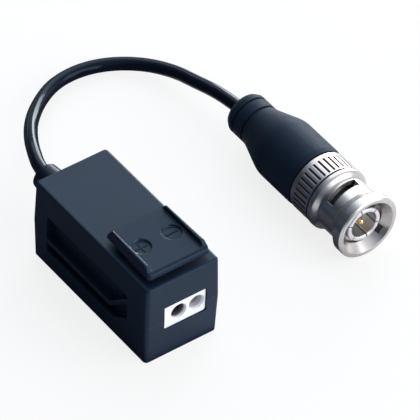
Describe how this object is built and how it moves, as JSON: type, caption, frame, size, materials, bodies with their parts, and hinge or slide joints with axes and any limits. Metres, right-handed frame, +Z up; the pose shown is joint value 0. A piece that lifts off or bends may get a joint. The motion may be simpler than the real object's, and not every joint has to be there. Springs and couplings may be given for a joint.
{
  "type": "cctv video balun",
  "caption": "Passive video balun: drafted black housing with a press lever over a two-pole push-in terminal, and a coaxial pigtail ending in a bayonet plug.",
  "frame": {"origin": "middle of the housing's underside, on the surface it lies on", "axes": "+X across the housing towards the plug, -Y out of the terminal face, +Y out of the cable end, +Z up through the press lever"},
  "size_m": [0.0628, 0.0779, 0.0235],
  "materials": {
    "shell_plastic": "fine satin",
    "terminal_plastic": "smooth",
    "spring_steel": "bright",
    "contact_brass": "tin plated",
    "board_laminate": "solder mask",
    "ferrite": "grey ceramic",
    "enamelled_copper": "enamel",
    "component_coating": "lacquer",
    "soft_black": "satin",
    "cable_jacket": "gloss",
    "wire_insulation": "smooth",
    "nickel": "bright nickel plate",
    "wave_steel": "bright",
    "ptfe": "smooth",
    "gold": "gold plate"
  },
  "bodies": {
    "housing": {"upper_shell": "shell_plastic", "lower_shell": "shell_plastic", "lever_pin": "spring_steel", "terminal_body": "terminal_plastic", "circuit_board": "board_laminate", "balun_core": "ferrite", "primary_winding": "enamelled_copper", "secondary_winding": "enamelled_copper", "surge_suppressor": "component_coating", "coupling_capacitor": "component_coating", "matching_resistor": "component_coating", "contact_plus": "contact_brass", "contact_minus": "contact_brass", "clamp_spring_plus": "spring_steel", "clamp_spring_minus": "spring_steel", "strain_relief": "soft_black", "cable": "cable_jacket", "signal_wire": "wire_insulation", "ground_wire": "wire_insulation", "plug_boot": "soft_black", "crimp_ferrule": "nickel", "plug_body": "nickel", "retaining_ring": "nickel", "plug_insulator": "ptfe", "centre_pin": "gold", "gasket": "soft_black"},
    "lever": {"press_lever": "shell_plastic"},
    "plus_button": {"release_button_plus": "terminal_plastic"},
    "minus_button": {"release_button_minus": "terminal_plastic"},
    "nut_carrier": {"thrust_washer": "nickel", "wave_spring": "wave_steel"},
    "nut": {"coupling_nut": "nickel"}
  },
  "joints": [
    {"name": "lever_hinge", "type": "hinge", "parent": "housing", "child": "lever", "pos_m": [0.0008, -0.0052, 0.017], "axis": [1, 0, 0], "range_deg": [0, 5], "stiffness_Nm_per_rad": 0.25},
    {"name": "plus_button_slide", "type": "slide", "parent": "housing", "child": "plus_button", "axis": [0, 0, -1], "range_m": [0, 0.0007], "deforming": ["clamp_spring_plus"]},
    {"name": "minus_button_slide", "type": "slide", "parent": "housing", "child": "minus_button", "axis": [0, 0, -1], "range_m": [0, 0.0007], "deforming": ["clamp_spring_minus"]},
    {"name": "nut_turn", "type": "hinge", "parent": "housing", "child": "nut_carrier", "pos_m": [0.0465, -0.0192, 0.00735], "axis": [0, -1, 0], "continuous": true},
    {"name": "nut_slide", "type": "slide", "parent": "nut_carrier", "child": "nut", "axis": [0, -1, 0], "range_m": [0, 0.0007], "stiffness_N_per_m": 2000, "springref_m": -0.0005}
  ],
  "couplings": [
    {"joint": "plus_button_slide", "follows": "lever_hinge", "m_per_rad": 0.0078},
    {"joint": "minus_button_slide", "follows": "lever_hinge", "m_per_rad": 0.0078}
  ]
}
